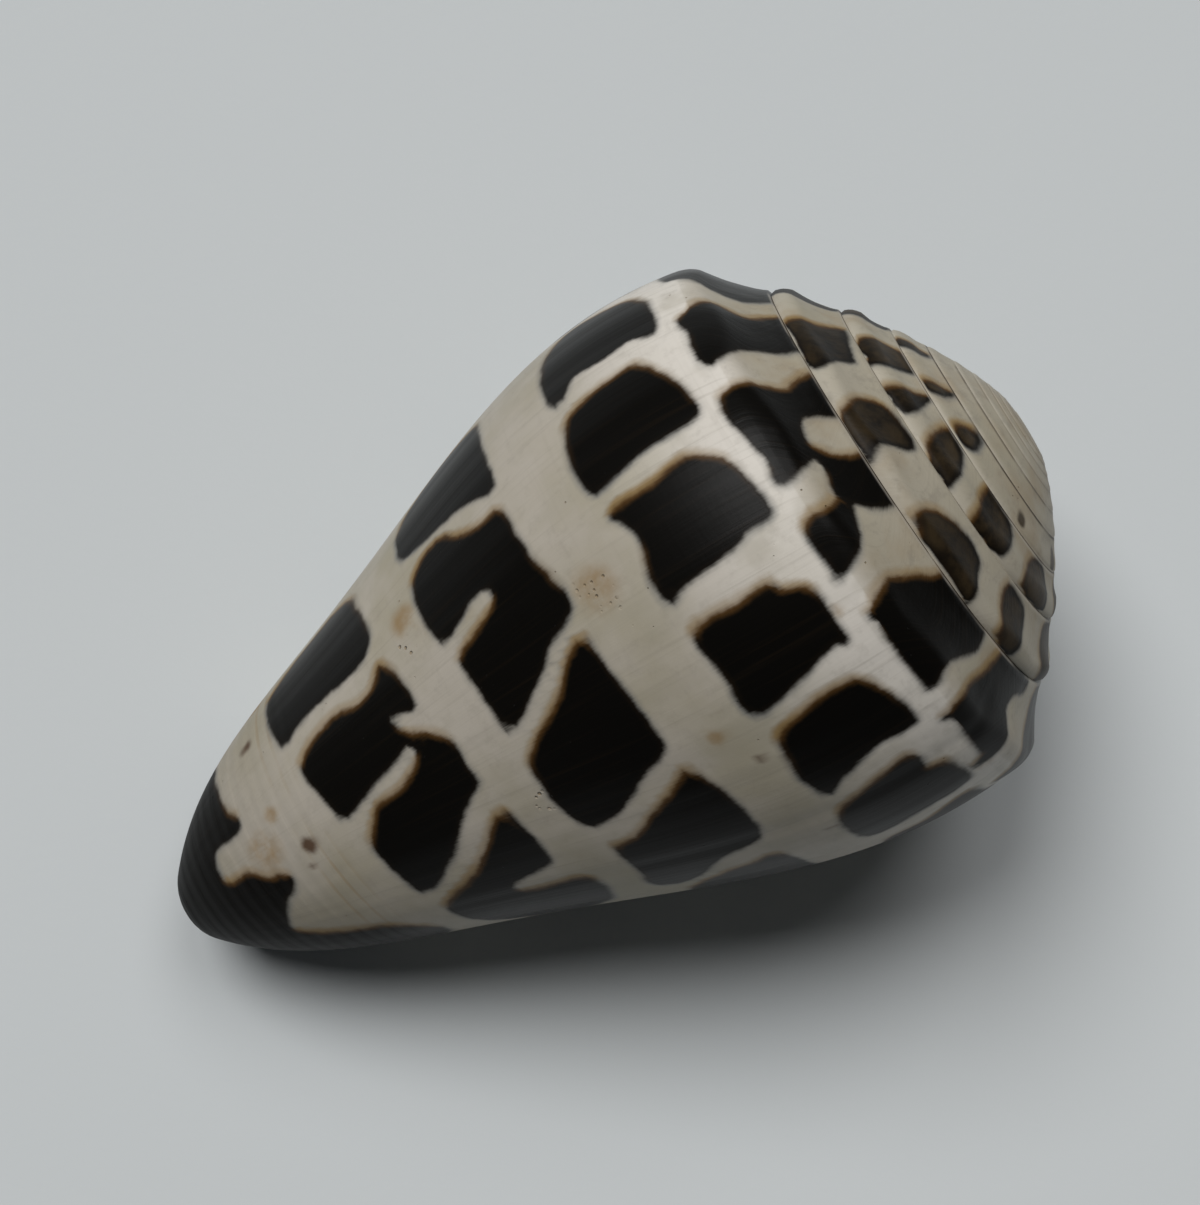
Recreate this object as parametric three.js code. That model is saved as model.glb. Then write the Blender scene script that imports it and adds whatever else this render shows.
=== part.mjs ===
// A cone shell, lying on its aperture as an empty one does on a table. Millimetres, +Z up.
//
// The shell is one tube of shell wound round an axis, each turn larger than the one before.
// "turn" counts back in time from the lip: 0 at the lip, 1 one whole turn earlier, and so on
// up the spire. It is a right-handed shell: seen from the apex, turn grows anticlockwise.
import * as THREE from "three";
import { ParametricGeometry } from "three/addons/geometries/ParametricGeometry.js";
import { mergeGeometries, mergeVertices } from "three/addons/utils/BufferGeometryUtils.js";

// Growth of the tube
const SHOULDER_RADIUS = 12; // the widest whorl's shoulder, at the lip
const GROWTH = 1.272; // how much the shoulder widens in one turn
const SPIRE_HEIGHT = 8; // apex above the lip's shoulder
const SPIRE_DOME = 1.73; // 1 makes a straight-sided spire, more makes it domed
const BODY_HEIGHT = 29.2; // the lip's shoulder above the front end
const SPIRE_TURNS = 7; // turns that still show, the rest are worn into the apex
const APEX_WEAR = 0.15; // lost from the top of the apex

// Outline of the body whorl's side, from the shoulder to the front end
const FRONT_RADIUS = 1.78; // where the side ends and the rounded tip begins
const BULGE = [1.24, 0.67, -0.28]; // even fullness, fuller ends, fuller shoulder
const FRONT_SHIFT = new THREE.Vector2(0.53, 0.62); // the front end sits a little off the axis
const TIP_ARC = { from: 48, to: 84, radius: 2.1 }; // slopes in degrees, measured from the axis

// Sutures, shoulder and the low knobs along it
const SUTURE_DROP = 0.64; // a whorl's suture below the shoulder of the whorl inside it
const RAMP_HOLLOW = 0.1; // how far the ramp above the shoulder is hollowed
const SHOULDER_ROUND = 0.14; // share of the ramp taken by the rounded shoulder
const KNOB_HEIGHT = 0.1;
const KNOBS_PER_TURN = 12.5;

// The aperture, a long slit between the lip and the whorl inside it
const LIP_WALL = 0.5; // the wall at the lip's edge
const FULL_WALL = 0.95; // the wall further in
const WALL_TURNS = 0.06; // how far in the wall reaches its full thickness
const FRONT_WALL_SHARE = 0.42; // the wall is thinner at the front end
const APERTURE_TURNS = { full: 0.2, end: 0.5 }; // how far in it stays open, and where it closes
const FRONT_FLARE = { share: 0.2, from: 0.5, turns: 0.16 }; // the lip stands off at the front
const COLUMELLA_PINCH = { share: 0.45, from: 0.5, turns: 0.34 }; // the pillar narrows there

// How it lies: turned about its axis, then its apex raised, until it rests on the lip and whorl
const ROLL = THREE.MathUtils.degToRad(39.8);
const APEX_RAISED = THREE.MathUtils.degToRad(14.85);

// Facets
const STEPS = 56; // in a turn
const SIDE_ROWS = 18; // down the side of the body whorl
const TIP_ROWS = 3;
const OPENING_ROWS = 3; // over which the aperture opens below the shoulder

const { clamp, lerp, smoothstep, degToRad } = THREE.MathUtils;
const portion = (x, from, to) => clamp((x - from) / (to - from), 0, 1);

// Shoulder radius and height above the lip's shoulder, at a turn.
const radiusAt = (turn) => SHOULDER_RADIUS * GROWTH ** -turn;
const heightAt = (turn) => SPIRE_HEIGHT * (1 - GROWTH ** (-turn * SPIRE_DOME));

// A point of the tube's outline, at its distance from the axis. down runs 0 to 1 to the front.
function place(turn, radius, z, down) {
  const angle = 2 * Math.PI * turn;
  const shift = FRONT_SHIFT.clone().multiplyScalar(down);
  return new THREE.Vector3(
    radius * Math.cos(angle) + shift.x, radius * Math.sin(angle) + shift.y, z);
}

// Radius of the side as a share of the shoulder's radius.
function sideShare(down) {
  const up = 1 - down;
  const x = 2 * up - 1;
  const [even, ends, shoulder] = BULGE;
  const fullness = even + ends * (3 * x ** 2 - 1) / 2 + shoulder * (5 * x ** 3 - 3 * x) / 2;
  const front = FRONT_RADIUS / SHOULDER_RADIUS;
  return front + (1 - front) * (up + up * down * fullness);
}

// How the front end differs near the lip, which stands off, and at the columella, which narrows.
function frontShare(turn, down) {
  const flare = FRONT_FLARE.share * smoothstep(down, FRONT_FLARE.from, 1)
    * (1 - smoothstep(turn, 0, FRONT_FLARE.turns));
  const pinch = COLUMELLA_PINCH.share * smoothstep(down, COLUMELLA_PINCH.from, 1)
    * smoothstep(turn, 1 - COLUMELLA_PINCH.turns, 1);
  return 1 + flare - pinch;
}

const sideRadius = (turn, down) => radiusAt(turn) * sideShare(down) * frontShare(turn, down);
const sideHeight = (turn, down) => heightAt(turn) * (1 - down) - BODY_HEIGHT * down;

// How far down the side of a whorl the next, larger one is joined on.
function sutureDown(turn) {
  return SUTURE_DROP * radiusAt(turn) / SHOULDER_RADIUS / (heightAt(turn) + BODY_HEIGHT);
}

// The tube's outline is a list of rows. Rows 0 to 4 run from the suture over the shoulder,
// rows up to SIDE_END go down the side, and the last ones round off the front end.
const SUTURE_ROW = 4;
const SIDE_END = SUTURE_ROW + SIDE_ROWS;
const LAST_ROW = SIDE_END + TIP_ROWS;
const APERTURE_ROW = SUTURE_ROW + 1; // where the aperture begins, just below the suture

// How far down the side a row is, closer together at the shoulder and the front.
function downAt(turn, row) {
  const top = sutureDown(turn);
  const along = clamp((row - SUTURE_ROW) / SIDE_ROWS, 0, 1);
  return top + (1 - top) * (1 - Math.cos(Math.PI * along)) / 2;
}

// Radius and height of the rounded tip, at a slope between the arc's two.
function tipPoint(turn, along) {
  const start = sideRadius(turn, 1);
  const from = degToRad(TIP_ARC.from);
  const slope = degToRad(lerp(TIP_ARC.from, TIP_ARC.to, along));
  const size = TIP_ARC.radius * start / FRONT_RADIUS;
  return {
    radius: start - size * (Math.cos(from) - Math.cos(slope)),
    z: -BODY_HEIGHT - TIP_ARC.radius * (Math.sin(slope) - Math.sin(from)),
  };
}

// Radius and height of any row of the side or tip, moved inwards by wall.
function sidePoint(turn, row, wall = 0) {
  if (row <= SIDE_END) {
    const down = downAt(turn, row);
    return { radius: sideRadius(turn, down) - wall, z: sideHeight(turn, down), down };
  }
  const tip = tipPoint(turn, (row - SIDE_END) / TIP_ROWS);
  return { radius: tip.radius - wall, z: tip.z, down: 1 };
}

const toPoint = (turn, p) => place(turn, p.radius, p.z, p.down);
const suture = (turn) => toPoint(turn, sidePoint(turn, SUTURE_ROW));

// The outline's top rows: the suture, the hollowed ramp and the rounded, knobbed shoulder.
function shoulderPoint(turn, row) {
  const inner = sidePoint(turn + 1, SUTURE_ROW);
  const outer = { radius: radiusAt(turn), z: heightAt(turn) };
  const size = outer.radius / SHOULDER_RADIUS;
  const knob = KNOB_HEIGHT * size * Math.cos(2 * Math.PI * KNOBS_PER_TURN * turn);
  const along = [0, 0.5, 1 - SHOULDER_ROUND, 1][row];
  const hollow = [0, RAMP_HOLLOW, 0, 2 * RAMP_HOLLOW][row] * size;
  const raised = [0, 0, 1, 1][row] * knob;
  const down = row === 3 ? sutureDown(turn) / 3 : 0;
  return place(
    turn,
    lerp(inner.radius, outer.radius, along) + raised,
    lerp(inner.z, outer.z, along) - hollow + raised,
    down);
}

// The outside of the tube.
function outside(turn, row) {
  if (row === 0) return suture(turn + 1);
  return row < SUTURE_ROW ? shoulderPoint(turn, row) : toPoint(turn, sidePoint(turn, row));
}

// The aperture's inner side is the whorl one turn earlier. Its outer side is the lip's lining,
// which closes onto the inner one at the shoulder and deep inside.
const apertureInner = (turn, row) => toPoint(turn, sidePoint(turn + 1, row));

function apertureOuter(turn, row) {
  const inner = sidePoint(turn + 1, row);
  const down = downAt(turn, row);
  const wall = lerp(LIP_WALL, FULL_WALL, portion(turn, 0, WALL_TURNS))
    * lerp(1, FRONT_WALL_SHARE, down);
  const lining = sidePoint(turn, row, wall);
  const open = portion(row, APERTURE_ROW, APERTURE_ROW + OPENING_ROWS)
    * (1 - portion(turn, APERTURE_TURNS.full, APERTURE_TURNS.end));
  return place(
    turn,
    lerp(inner.radius, lining.radius, open),
    lerp(inner.z, lining.z, open),
    lerp(inner.down, lining.down, open));
}

// A grid of facets over turns [from, to] and rows [first, last] of a surface. inwards turns
// its faces round.
function sheet(surface, [from, to], [first, last], inwards = false) {
  const rows = last - first;
  const steps = Math.round((to - from) * STEPS);
  const at = (u, v, target) => {
    const across = inwards ? 1 - u : u;
    const row = first + Math.round(across * rows);
    const turn = from + Math.round(v * steps) / STEPS;
    target.copy(surface(turn, row));
  };
  return new ParametricGeometry(at, rows, steps);
}

// A face filled between the points of its outline. flat gives a point's two coordinates in
// the face, which run anticlockwise seen from outside.
function filled(outline, flat) {
  const shape = outline.map(flat);
  if (THREE.ShapeUtils.isClockWise(shape)) {
    outline.reverse();
    shape.reverse();
  }
  const faces = THREE.ShapeUtils.triangulateShape(shape, []);
  return new THREE.BufferGeometry().setFromPoints(outline).setIndex(faces.flat());
}

// A fan of facets from a closed loop of points up to one point.
function fan(loop, top) {
  const faces = loop.map((_, i) => [i, (i + 1) % loop.length, loop.length]);
  return new THREE.BufferGeometry().setFromPoints([...loop, top]).setIndex(faces.flat());
}

const count = (from, to) => Array.from({ length: to - from + 1 }, (_, i) => from + i);
const turnsBetween = (from, to) => count(Math.round(from * STEPS), Math.round(to * STEPS))
  .map((step) => step / STEPS);

// The lip's cut edge, from the suture round to the front end, and back up the aperture.
function lipEdge() {
  const outer = count(0, LAST_ROW).map((row) => outside(0, row));
  const lining = count(APERTURE_ROW, LAST_ROW).map((row) => apertureOuter(0, row));
  return filled([...outer, ...lining.reverse()], (p) => new THREE.Vector2(p.x, p.z));
}

// The blunt front end: the lip wall's end, then the rest fanned round the axis.
function frontEnd() {
  const deepest = APERTURE_TURNS.end;
  const wallEnd = (turn, row) => (row ? apertureOuter : outside)(turn, LAST_ROW);
  const rim = turnsBetween(deepest, 1).map((turn) => outside(turn, LAST_ROW));
  const inner = turnsBetween(0, deepest).slice(1).map((turn) => apertureInner(turn, LAST_ROW));
  const centre = place(0, 0, tipPoint(0, 1).z, 1);
  return [sheet(wallEnd, [0, deepest], [0, 1]), fan([...rim, ...inner].reverse(), centre)];
}

// The worn apex, over the last turn of the spire.
function apex() {
  const inner = turnsBetween(SPIRE_TURNS - 1, SPIRE_TURNS).map((turn) => outside(turn, 0));
  const end = count(1, SUTURE_ROW - 1).map((row) => outside(SPIRE_TURNS, row));
  return fan([...inner, ...end], new THREE.Vector3(0, 0, SPIRE_HEIGHT - APEX_WEAR));
}

// The whole shell as one closed surface in its own frame: axis up, lip's shoulder at z = 0.
function shellGeometry() {
  const inside = [0, APERTURE_TURNS.end];
  const patches = [
    sheet(outside, [1, SPIRE_TURNS], [0, SUTURE_ROW]),
    sheet(outside, [0, 1], [0, LAST_ROW]),
    sheet(apertureInner, inside, [APERTURE_ROW, LAST_ROW]),
    sheet(apertureOuter, inside, [APERTURE_ROW, LAST_ROW], true),
    lipEdge(),
    ...frontEnd(),
    apex(),
  ];
  for (const patch of patches) {
    patch.deleteAttribute("normal");
    patch.deleteAttribute("uv");
  }
  const closed = mergeVertices(mergeGeometries(patches));
  closed.computeVertexNormals();
  return closed;
}

const material = new THREE.MeshStandardMaterial({ color: 0xd8d2c2, roughness: 0.4, metalness: 0 });
const shell = new THREE.Mesh(shellGeometry(), material);
shell.name = "cone_shell";

// Lying down, the axis is along X with the apex towards +X.
const lying = new THREE.Group();
lying.rotation.set(0, Math.PI / 2 - APEX_RAISED, 0);
shell.rotation.z = ROLL;
lying.add(shell);

// Stood on z = 0 with its box centred on the origin.
const group = new THREE.Group();
group.add(lying);
const box = new THREE.Box3().setFromObject(group, true);
const centre = box.getCenter(new THREE.Vector3());
lying.position.set(-centre.x, -centre.y, -box.min.z);

export default group;
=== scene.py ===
"""The looks of a Hebrew cone shell, lying on its aperture.

The shell's surface is one closed mesh, made here from the same growth formulas as the CAD part
but finer. Shell coordinates: "turn" counts back from the lip (0) up the spire, anticlockwise
seen from the apex, and "level" runs from -1 at a whorl's inner suture over the ramp to 0 at its
shoulder, and on to 1 at the front end. The markings are outlines in degrees back from the lip
and levels. Shapes are worked out in millimetres and turned into metres last.
"""
import math

import bmesh
import bpy
import numpy as np
from mathutils import Matrix, Vector


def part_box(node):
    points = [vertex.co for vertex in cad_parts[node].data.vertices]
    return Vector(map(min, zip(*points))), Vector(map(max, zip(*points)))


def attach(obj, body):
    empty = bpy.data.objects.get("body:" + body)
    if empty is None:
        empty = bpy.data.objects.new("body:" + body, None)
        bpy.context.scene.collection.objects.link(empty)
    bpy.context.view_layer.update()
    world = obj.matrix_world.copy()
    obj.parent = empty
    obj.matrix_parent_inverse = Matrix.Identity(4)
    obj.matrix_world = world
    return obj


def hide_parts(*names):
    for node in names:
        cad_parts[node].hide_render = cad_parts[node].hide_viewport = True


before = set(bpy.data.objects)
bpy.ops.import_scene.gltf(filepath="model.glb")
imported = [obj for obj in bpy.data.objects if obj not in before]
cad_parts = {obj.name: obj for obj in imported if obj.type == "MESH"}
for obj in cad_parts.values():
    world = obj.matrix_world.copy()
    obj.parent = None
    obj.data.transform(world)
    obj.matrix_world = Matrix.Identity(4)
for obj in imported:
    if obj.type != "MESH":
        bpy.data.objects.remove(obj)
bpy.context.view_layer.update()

MM = 0.001

# The tube's growth and the pose, with the CAD part's values
SHOULDER_RADIUS = 12.0
GROWTH = 1.272
SPIRE_HEIGHT = 8.0
SPIRE_DOME = 1.73
BODY_HEIGHT = 29.2
APEX_WEAR = 0.15
FRONT_RADIUS = 1.78
BULGE = (1.24, 0.67, -0.28)
FRONT_SHIFT = (0.53, 0.62)
TIP_FROM, TIP_TO, TIP_RADIUS = 48, 84, 2.1
SUTURE_DROP = 0.64
RAMP_HOLLOW = 0.1
SHOULDER_ROUND = 0.14
KNOBS_PER_TURN = 12.5
LIP_WALL, FULL_WALL, WALL_TURNS = 0.5, 0.95, 0.06
FRONT_WALL_SHARE = 0.42
APERTURE_FULL, APERTURE_END = 0.2, 0.5
FLARE_SHARE, FLARE_FROM, FLARE_TURNS = 0.2, 0.5, 0.16
PINCH_SHARE, PINCH_FROM, PINCH_TURNS = 0.45, 0.5, 0.34
ROLL, APEX_RAISED = 39.8, 14.85

# The surface's rows and steps, finer than the CAD part's
STEPS = 280  # in a turn
RAMP_ROWS, CORNER_ROWS, SIDE_ROWS, TIP_ROWS = 11, 5, 84, 6
EDGE_ROWS = 4  # across the lip's edge, and between the suture and the top of the aperture
CAP_RINGS = 6  # in the caps that close the apex and the front end
RAMP_CROWDING = 1.25  # over 1, the ramp's rows lie closer together by the suture
SIDE_CROWDING = 0.6  # from 0 to 1, how much closer the side's rows lie by its ends
SUTURE_ROW = RAMP_ROWS + CORNER_ROWS
APERTURE_ROW = SUTURE_ROW + EDGE_ROWS
SIDE_END = SUTURE_ROW + SIDE_ROWS
LAST_ROW = SIDE_END + TIP_ROWS
TIP_LEVELS = 0.06  # the rounded tip's length, in levels
SPIRE_TURNS = 9

# Knobs and wear. A pair of turns is where that wear starts and where it is complete.
KNOB_HEIGHT = 0.055
KNOB_RISE_FROM = 0.45  # share of the ramp below which the knobs rise
ROUNDED_TURNS, WORN_ROUND = (1.3, 4), 0.7  # SHOULDER_ROUND up the spire
WORN_TURNS, SPIRE_WEAR = (1.8, 4.2), 0.75  # how nearly flush the whorls are
SUTURE_BEAD = 0.05  # the thin raised edge with which a whorl joins the one inside it
BEAD_AT, BEAD_WIDTH, BEAD_FROM = 0.06, 0.04, 0.02  # in shares of the ramp
SUTURE_GROOVE, GROOVE_WEAR = 0.09, 0.7

# The lip, in turns and rows
LIP_NOTCH = 0.02  # how many turns the lip draws back between suture and shoulder
LIP_FRONT_BACK = 0.035  # and at the front end
FRONT_ROWS = 25  # of the side, over which it does so
LIP_SHAPE_TURNS = 0.12  # how far back the growth lines keep that shape
WALL_ABOVE, WALL_BELOW = 3, 4  # rows about the corner where the ramp's wall becomes the side's
RAMP_WALL_RADIUS, RAMP_WALL_DROP = 0.35, 0.95  # the ramp's wall hangs below it
APERTURE_NARROWED = 0.85
LINING_ROWS = 5  # over which the lining leaves the suture
LIP_ROUND, LIP_ROUND_MOST, LIP_ROUND_ROWS = 0.35, 0.6, 4  # share of the wall, widest wall
INSIDE_TURNS = 0.02  # over which the inner whorl's look turns to the aperture's
FRONT_INSIDE = 0.25  # how much of that look the front wall's end takes

# Unevenness of growth, in millimetres and turns
RELIEF = 0.035
WAVES_PER_TURN = (9, 17, 31, 47, 68)
WAVE_SHARE, WAVE_FALL, WAVE_LEAN = 0.35, 0.75, 2.5
PAUSES = (0.09, 0.305, 0.52, 0.83)  # turns at which growth paused
PAUSE_SHARE, PAUSE_TURNS = 0.5, 0.004
RELIEF_ROWS, RELIEF_TURNS, RELIEF_NARROWING = 3, 0.03, 1.5  # it fades by sutures and the front
JOIN_FROM = 0.96  # the turn from which the body whorl takes the spire's shape

# Lengths for the markings and the growth lines, in millimetres
SIDE_LENGTH = 31.0  # along the side, from shoulder to front
RAMP_LENGTH = 3.3  # along the widest whorl's ramp
TURN_LENGTH = 75  # round the body whorl
CORD_PITCH = 0.62  # of the fine cords round the front end
FAR = 1.5  # beyond this, a distance to a marking no longer matters
SMALLEST_RADIUS = 0.6  # nearer the axis, distances round it are measured as if here

rng = np.random.default_rng(7)
WAVE_PHASES = rng.uniform(0, 2 * np.pi, len(WAVES_PER_TURN))


def portion(x, start, stop):
    return np.clip((x - start) / (stop - start), 0, 1)


def smooth(x, start, stop):
    t = portion(x, start, stop)
    return t * t * (3 - 2 * t)


def lerp(a, b, t):
    return a + (b - a) * t


# ---- Shape: every function takes arrays of turns, of one row each or of a whole grid

def radius_at(turn):
    return SHOULDER_RADIUS * GROWTH ** -turn


def height_at(turn):
    return SPIRE_HEIGHT * (1 - GROWTH ** (-turn * SPIRE_DOME))


def side_share(down):
    up = 1 - down
    x = 2 * up - 1
    even, ends, shoulder = BULGE
    fullness = even + ends * (3 * x**2 - 1) / 2 + shoulder * (5 * x**3 - 3 * x) / 2
    front = FRONT_RADIUS / SHOULDER_RADIUS
    return front + (1 - front) * (up + up * down * fullness)


def side_radius(turn, down):
    flare = FLARE_SHARE * smooth(down, FLARE_FROM, 1) * (1 - smooth(turn, 0, FLARE_TURNS))
    pinch = PINCH_SHARE * smooth(down, PINCH_FROM, 1) * smooth(turn, 1 - PINCH_TURNS, 1)
    return radius_at(turn) * side_share(down) * (1 + flare - pinch)


def side_height(turn, down):
    return height_at(turn) * (1 - down) - BODY_HEIGHT * down


def suture_down(turn):
    return SUTURE_DROP * radius_at(turn) / SHOULDER_RADIUS / (height_at(turn) + BODY_HEIGHT)


def knob(turn):
    """Height of the low knobs along the shoulder, uneven as they are."""
    size = radius_at(turn) / SHOULDER_RADIUS
    wander = 0.35 * np.sin(2 * np.pi * 2.3 * turn + 1) + 0.2 * np.sin(2 * np.pi * 5.1 * turn)
    strength = 0.8 + 0.35 * np.sin(2 * np.pi * 3.7 * turn + 2)
    return KNOB_HEIGHT * size * strength * np.cos(2 * np.pi * KNOBS_PER_TURN * turn + wander)


def profile(turn):
    """Radius, height, share of the way down and level of each row. turn has a column a row."""
    size = radius_at(turn) / SHOULDER_RADIUS

    # The ramp runs from the suture on the whorl inside to near the shoulder.
    inner_down = suture_down(turn + 1)
    inner = side_radius(turn + 1, inner_down), side_height(turn + 1, inner_down)
    outer = radius_at(turn), height_at(turn)
    row = np.arange(LAST_ROW + 1)[None, :] + 0 * turn
    worn = SPIRE_WEAR * smooth(turn, *WORN_TURNS)
    end = 1 - lerp(SHOULDER_ROUND, WORN_ROUND, smooth(turn, *ROUNDED_TURNS))
    along = end * portion(row, 0, RAMP_ROWS) ** RAMP_CROWDING
    hollow = RAMP_HOLLOW * np.sin(np.pi * np.minimum(along / end, 1))
    bead = np.exp(-(((along - BEAD_AT) / BEAD_WIDTH) ** 2)) * portion(along, 0, BEAD_FROM)
    bead = SUTURE_BEAD * bead * (1 - worn)
    raised = knob(turn) * smooth(along, KNOB_RISE_FROM * end, end)
    ramp_radius = lerp(inner[0], outer[0], along) + raised + 0.5 * bead * size
    ramp_z = lerp(inner[1], outer[1], along) + raised + (bead - hollow) * size

    # The shoulder's round, from the ramp to where the next suture is or would be.
    foot_down = suture_down(turn)
    foot = side_radius(turn, foot_down), side_height(turn, foot_down)
    t = portion(row, RAMP_ROWS, SUTURE_ROW)
    lift = knob(turn) * (1 - t) ** 2
    start_radius, start_z = lerp(inner[0], outer[0], end), lerp(inner[1], outer[1], end)
    corner_radius = (1 - t)**2 * start_radius + 2 * t * (1 - t) * outer[0] + t**2 * foot[0] + lift
    corner_z = (1 - t)**2 * start_z + 2 * t * (1 - t) * outer[1] + t**2 * foot[1] + lift

    # Up the spire the whorls are worn flush with each other.
    flush = portion(row, 0, SUTURE_ROW)
    ramp_radius, corner_radius = (
        lerp(r, lerp(inner[0], foot[0], flush), worn) for r in (ramp_radius, corner_radius))
    ramp_z, corner_z = (lerp(h, lerp(inner[1], foot[1], flush), worn) for h in (ramp_z, corner_z))

    # The side, its rows closer together at both ends, and the rounded tip.
    share = portion(row, SUTURE_ROW, SIDE_END)
    share = lerp(share, (1 - np.cos(np.pi * share)) / 2, SIDE_CROWDING)
    side_down = foot_down + (1 - foot_down) * share
    tip = portion(row, SIDE_END, LAST_ROW)
    slope_from, slope = np.radians(TIP_FROM), np.radians(lerp(TIP_FROM, TIP_TO, tip))
    tip_size = TIP_RADIUS * side_radius(turn, 1) / FRONT_RADIUS
    tip_radius = side_radius(turn, 1) - tip_size * (np.cos(slope_from) - np.cos(slope))
    tip_z = -BODY_HEIGHT - TIP_RADIUS * (np.sin(slope) - np.sin(slope_from))

    is_ramp, is_corner, is_side = row <= RAMP_ROWS, row <= SUTURE_ROW, row <= SIDE_END
    kinds = [is_ramp, is_corner, is_side]
    radius = np.select(kinds, [ramp_radius, corner_radius, side_radius(turn, side_down)], tip_radius)
    z = np.select(kinds, [ramp_z, corner_z, side_height(turn, side_down)], tip_z)
    ramp_down = inner_down * (1 - along)
    down = np.select(kinds, [ramp_down, t * foot_down, side_down], 1 + 0 * turn)
    level = np.select(
        kinds, [along - 1, lerp(along - 1, foot_down, t), side_down], 1 + TIP_LEVELS * tip)
    return radius, z, down, level


def lip_shape(turn):
    """Moves each row's turn back near the lip, to the lip's and the growth lines' shape."""
    row = np.arange(LAST_ROW + 1)[None, :]
    notch = LIP_NOTCH * np.sin(np.pi * portion(row, 0, APERTURE_ROW)) ** 2
    front = LIP_FRONT_BACK * portion(row, SIDE_END - FRONT_ROWS, LAST_ROW) ** 2
    return turn + (notch + front) * (1 - smooth(turn, 0, LIP_SHAPE_TURNS))


def relief(turn, level):
    """Uneven growth: low waves along each growth line, with a few stronger pauses."""
    waves = sum(
        WAVE_FALL**i * np.sin(2 * np.pi * often * turn + phase + WAVE_LEAN * level * math.sin(phase))
        for i, (often, phase) in enumerate(zip(WAVES_PER_TURN, WAVE_PHASES)))
    pauses = sum(np.exp(-(((turn - at) / PAUSE_TURNS) ** 2)) for at in PAUSES)
    return RELIEF * (WAVE_SHARE * waves - PAUSE_SHARE * pauses)


def place(turn, radius, z, down):
    angle = 2 * np.pi * turn
    return np.stack([
        radius * np.cos(angle) + FRONT_SHIFT[0] * down,
        radius * np.sin(angle) + FRONT_SHIFT[1] * down,
        z], -1)


class Grid:
    """A grid of surface points with their shell coordinates: turn, level and inside."""

    def __init__(self, points, turn, level, inside):
        self.points, self.turn, self.level = points, turn, level
        self.inside = np.broadcast_to(inside, turn.shape)

    def rows(self, first, last):
        cut = (slice(None), slice(first, last + 1))
        return Grid(self.points[cut], self.turn[cut], self.level[cut], self.inside[cut])


def groove_left(turn):
    """The share of the suture's groove, at a whorl's outer edge, that wear has left."""
    start, stop = WORN_TURNS
    return 1 - GROOVE_WEAR * smooth(turn, start + 1, stop + 1)


def outside(turns):
    """The outside of the tube at these turns, all rows."""
    turn = lip_shape(np.repeat(turns[:, None], LAST_ROW + 1, 1))
    radius, z, down, level = profile(turn)
    row = np.arange(LAST_ROW + 1)[None, :]
    size = radius_at(turn) / SHOULDER_RADIUS
    from_inner = portion(row, 0, RELIEF_ROWS)
    from_outer = portion(SUTURE_ROW - row, 0, RELIEF_ROWS)
    strength = np.where(turn >= 1, np.minimum(from_inner, from_outer) * size, from_inner)
    strength = strength * np.minimum(radius / radius_at(turn), 1) ** RELIEF_NARROWING
    radius = radius + relief(turn, level) * strength * smooth(abs(turn - 1), 0, RELIEF_TURNS)
    inner_groove = (row == 0) * size / GROWTH * groove_left(turn + 1)
    outer_groove = (row == SUTURE_ROW) * size * smooth(turn, JOIN_FROM, 1) * groove_left(turn)
    radius = radius - SUTURE_GROOVE * (inner_groove + outer_groove)
    return Grid(place(turn, radius, z, down), turn, level, 0.0)


def lining(turns, inner):
    """The inside of the lip's wall at these turns, all rows. It meets the inner whorl's top row."""
    turn = lip_shape(np.repeat(turns[:, None], LAST_ROW + 1, 1))
    radius, z, down, level = profile(turn)
    wall = lerp(LIP_WALL, FULL_WALL, portion(turn, 0, WALL_TURNS))
    wall = wall * lerp(1, FRONT_WALL_SHARE, down)
    row = np.arange(LAST_ROW + 1)
    below = 1 - smooth(row[None, :], RAMP_ROWS - WALL_ABOVE, SUTURE_ROW + WALL_BELOW)
    radius = radius - wall * lerp(1, RAMP_WALL_RADIUS, below)
    z = z - wall * RAMP_WALL_DROP * below
    full = place(turn, radius, z, down)
    top = inner.points[:, :1]
    opposite = inner.points[:, np.maximum(row - APERTURE_ROW, 0)]
    open_share = 1 - APERTURE_NARROWED * smooth(turn, APERTURE_FULL, APERTURE_END)[..., None]
    points = lerp(opposite, full, open_share)
    points = lerp(top, points, smooth(row[None, :], 0, LINING_ROWS)[..., None])
    return Grid(points, turn, level, 1.0)


# ---- Markings: outlines in degrees back from the lip and levels

def on_body(text):
    """An outline on the body whorl, written as pairs of degrees and level."""
    return np.array([[float(x) for x in pair.split(",")] for pair in text.split()])


def on_spire(whorl, text):
    """An outline on a whorl of the spire. Its second number is 0 at the inner suture, 1 at the
    shoulder and 2 at the outer suture."""
    points = on_body(text)
    degrees, across = points[:, 0] + 360 * whorl, points[:, 1]
    foot = suture_down(degrees / 360)
    level = np.where(across < 1, across - 1, (across - 1) * foot)
    return np.stack([degrees, level], 1)


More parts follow.
